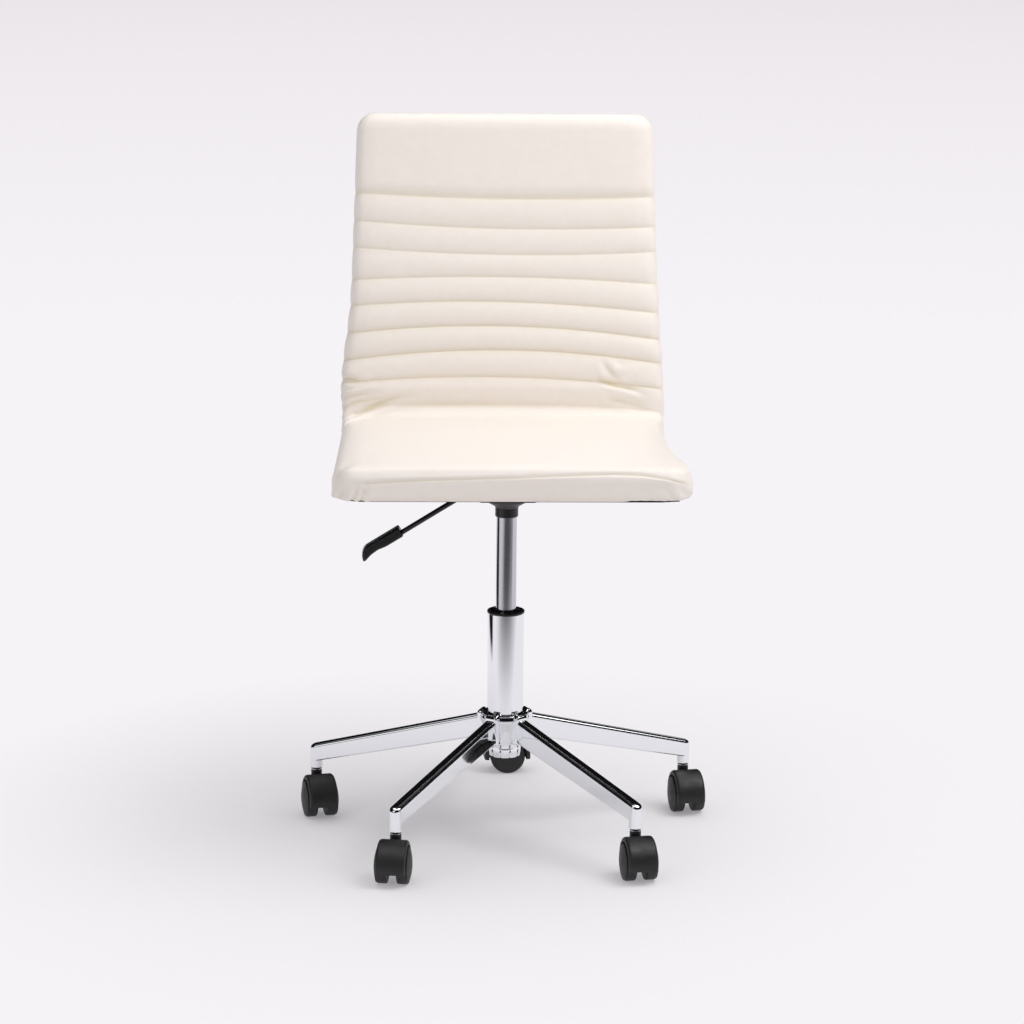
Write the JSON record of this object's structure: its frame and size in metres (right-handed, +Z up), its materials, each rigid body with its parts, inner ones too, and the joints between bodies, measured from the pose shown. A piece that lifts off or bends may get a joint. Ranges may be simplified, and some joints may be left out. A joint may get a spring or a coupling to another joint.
{
  "type": "office chair",
  "caption": "Armless swivel chair: padded seat and ribbed back in one bend, gas lift with a side lever, and a chromed star base on twin-wheel casters.",
  "frame": {"origin": "on the floor under the column's axis", "axes": "+Z up along the column; the chair faces -Y and its seat is symmetric about x = 0"},
  "size_m": [0.5649, 0.5789, 0.958],
  "materials": {
    "chrome": "polished",
    "satin_steel": "satin",
    "bright_steel": "satin",
    "spring_steel": "satin",
    "brass": "satin",
    "black_plastic": "satin",
    "nylon": "satin",
    "rubber": "matte",
    "grey_powder_coat": "satin",
    "black_enamel": "gloss",
    "plywood": "matte",
    "leather": "satin",
    "padding": "satin",
    "lining": "matte"
  },
  "bodies": {
    "base": {"base_hub": "chrome", "base_leg_1": "chrome", "base_leg_2": "chrome", "base_leg_3": "chrome", "base_leg_4": "chrome", "base_leg_5": "chrome", "leg_socket_1": "chrome", "leg_socket_2": "chrome", "leg_socket_3": "chrome", "leg_socket_4": "chrome", "leg_socket_5": "chrome", "caster_stems": "bright_steel", "stem_grip_rings": "spring_steel", "column_tube": "chrome", "guide_bush": "black_plastic", "bearing_lower_race": "bright_steel", "bearing_balls": "bright_steel", "ball_cage": "brass"},
    "spindle": {"bearing_upper_race": "bright_steel", "piston_rod": "bright_steel", "piston": "rubber", "bump_stop": "rubber", "retaining_clip": "spring_steel"},
    "seat": {"gas_cylinder": "satin_steel", "cylinder_collar": "black_plastic", "seat_plate": "grey_powder_coat", "taper_socket": "grey_powder_coat", "lever_pin": "bright_steel", "plate_screws": "bright_steel", "spring_washers": "bright_steel", "tee_nuts": "bright_steel", "seat_shell": "plywood", "seat_pad": "padding", "back_pad": "padding", "rear_panel": "leather", "dust_cover": "lining"},
    "lever": {"lever_rod": "black_enamel", "lever_grip": "black_plastic"},
    "valve_pin": {"release_pin": "bright_steel"},
    "caster_1": {"caster_housing_1": "nylon", "caster_axle_1": "bright_steel"},
    "wheel_left_1": {"wheel_left_1": "nylon"},
    "wheel_right_1": {"wheel_right_1": "nylon"},
    "caster_2": {"caster_housing_2": "nylon", "caster_axle_2": "bright_steel"},
    "wheel_left_2": {"wheel_left_2": "nylon"},
    "wheel_right_2": {"wheel_right_2": "nylon"},
    "caster_3": {"caster_housing_3": "nylon", "caster_axle_3": "bright_steel"},
    "wheel_left_3": {"wheel_left_3": "nylon"},
    "wheel_right_3": {"wheel_right_3": "nylon"},
    "caster_4": {"caster_housing_4": "nylon", "caster_axle_4": "bright_steel"},
    "wheel_left_4": {"wheel_left_4": "nylon"},
    "wheel_right_4": {"wheel_right_4": "nylon"},
    "caster_5": {"caster_housing_5": "nylon", "caster_axle_5": "bright_steel"},
    "wheel_left_5": {"wheel_left_5": "nylon"},
    "wheel_right_5": {"wheel_right_5": "nylon"}
  },
  "joints": [
    {"name": "seat_swivel", "type": "hinge", "parent": "base", "child": "spindle", "pos_m": [0, 0, 0.111], "axis": [0, 0, 1], "continuous": true},
    {"name": "seat_height", "type": "slide", "parent": "spindle", "child": "seat", "axis": [0, 0, 1], "range_m": [-0.115, 0]},
    {"name": "lever_lift", "type": "hinge", "parent": "seat", "child": "lever", "pos_m": [-0.03, 0, 0.484], "axis": [0, 1, 0], "range_deg": [0, 8], "stiffness_Nm_per_rad": 6, "springref_deg": -6.88},
    {"name": "valve_pin_press", "type": "slide", "parent": "seat", "child": "valve_pin", "axis": [0, 0, -1], "range_m": [0, 0.0042]},
    {"name": "caster_1_swivel", "type": "hinge", "parent": "base", "child": "caster_1", "pos_m": [0.16852, -0.21223, 0.061], "axis": [0, 0, 1], "continuous": true},
    {"name": "wheel_left_1_roll", "type": "hinge", "parent": "caster_1", "child": "wheel_left_1", "pos_m": [0.17226, -0.23391, 0.025], "axis": [0.9854, 0.1702, 0], "continuous": true},
    {"name": "wheel_right_1_roll", "type": "hinge", "parent": "caster_1", "child": "wheel_right_1", "pos_m": [0.17226, -0.23391, 0.025], "axis": [0.9854, 0.1702, 0], "continuous": true},
    {"name": "caster_2_swivel", "type": "hinge", "parent": "base", "child": "caster_2", "pos_m": [0.25392, 0.09469, 0.061], "axis": [0, 0, 1], "continuous": true},
    {"name": "wheel_left_2_roll", "type": "hinge", "parent": "caster_2", "child": "wheel_left_2", "pos_m": [0.25786, 0.07304, 0.025], "axis": [0.9839, 0.1788, 0], "continuous": true},
    {"name": "wheel_right_2_roll", "type": "hinge", "parent": "caster_2", "child": "wheel_right_2", "pos_m": [0.25786, 0.07304, 0.025], "axis": [0.9839, 0.1788, 0], "continuous": true},
    {"name": "caster_3_swivel", "type": "hinge", "parent": "base", "child": "caster_3", "pos_m": [-0.01158, 0.27075, 0.061], "axis": [0, 0, 1], "continuous": true},
    {"name": "wheel_left_3_roll", "type": "hinge", "parent": "caster_3", "child": "wheel_left_3", "pos_m": [0.01032, 0.27278, 0.025], "axis": [-0.0924, 0.9957, 0], "continuous": true},
    {"name": "wheel_right_3_roll", "type": "hinge", "parent": "caster_3", "child": "wheel_right_3", "pos_m": [0.01032, 0.27278, 0.025], "axis": [-0.0924, 0.9957, 0], "continuous": true},
    {"name": "caster_4_swivel", "type": "hinge", "parent": "base", "child": "caster_4", "pos_m": [-0.26108, 0.07265, 0.061], "axis": [0, 0, 1], "continuous": true},
    {"name": "wheel_left_4_roll", "type": "hinge", "parent": "caster_4", "child": "wheel_left_4", "pos_m": [-0.25602, 0.05124, 0.025], "axis": [0.9732, 0.23, 0], "continuous": true},
    {"name": "wheel_right_4_roll", "type": "hinge", "parent": "caster_4", "child": "wheel_right_4", "pos_m": [-0.25602, 0.05124, 0.025], "axis": [0.9732, 0.23, 0], "continuous": true},
    {"name": "caster_5_swivel", "type": "hinge", "parent": "base", "child": "caster_5", "pos_m": [-0.14977, -0.22585, 0.061], "axis": [0, 0, 1], "continuous": true},
    {"name": "wheel_left_5_roll", "type": "hinge", "parent": "caster_5", "child": "wheel_left_5", "pos_m": [-0.1531, -0.2476, 0.025], "axis": [0.9885, -0.1513, 0], "continuous": true},
    {"name": "wheel_right_5_roll", "type": "hinge", "parent": "caster_5", "child": "wheel_right_5", "pos_m": [-0.1531, -0.2476, 0.025], "axis": [0.9885, -0.1513, 0], "continuous": true}
  ],
  "couplings": [
    {"joint": "valve_pin_press", "follows": "lever_lift", "m_per_rad": 0.03}
  ]
}
